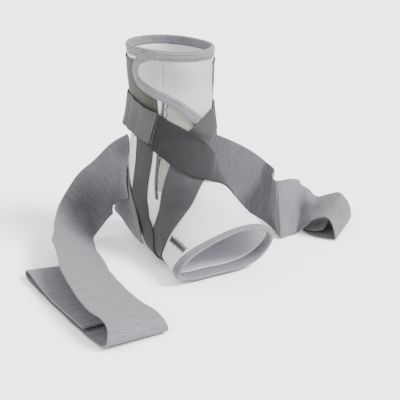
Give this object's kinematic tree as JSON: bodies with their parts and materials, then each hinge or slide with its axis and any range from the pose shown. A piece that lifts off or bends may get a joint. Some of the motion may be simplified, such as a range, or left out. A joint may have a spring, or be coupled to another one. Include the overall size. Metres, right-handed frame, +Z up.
{
  "type": "ankle brace",
  "caption": "Wrap-round fabric ankle brace with a cuff flap, crossed instep straps, a stirrup strap and two long loose elastic straps.",
  "frame": {"origin": "on the floor, under the axis of the lower leg", "axes": "+X towards the toes, +Y to the inner side of a right foot, +Z up along the leg"},
  "size_m": [0.2218, 0.3176, 0.1811],
  "materials": {
    "laminate": "foam laminate with a smooth knitted white face",
    "binding": "soft grey folded edge binding, stitched",
    "loop_fabric": "dark grey brushed loop pile",
    "hook_tape": "off-white hook tape, matt",
    "webbing": "dark grey soft woven strap, matt",
    "stirrup_webbing": "warm dark grey woven strap, matt",
    "tab_fabric": "mid grey tab backing, slight sheen",
    "elastic": "grey ribbed elastic, ribs across the width"
  },
  "bodies": {
    "root": {"sleeve": "laminate", "rim_binding": "binding", "foot_binding": "binding", "loop_panel": "loop_fabric", "hook_strip": "hook_tape", "closure_patch": "hook_tape", "cuff_flap": "laminate", "flap_binding": "binding", "elastic_strap_medial": "elastic", "elastic_strap_lateral": "elastic", "instep_strap_lateral": "webbing", "stirrup_strap": "stirrup_webbing", "instep_strap_medial": "webbing", "strap_tab": "tab_fabric"}
  },
  "joints": []
}
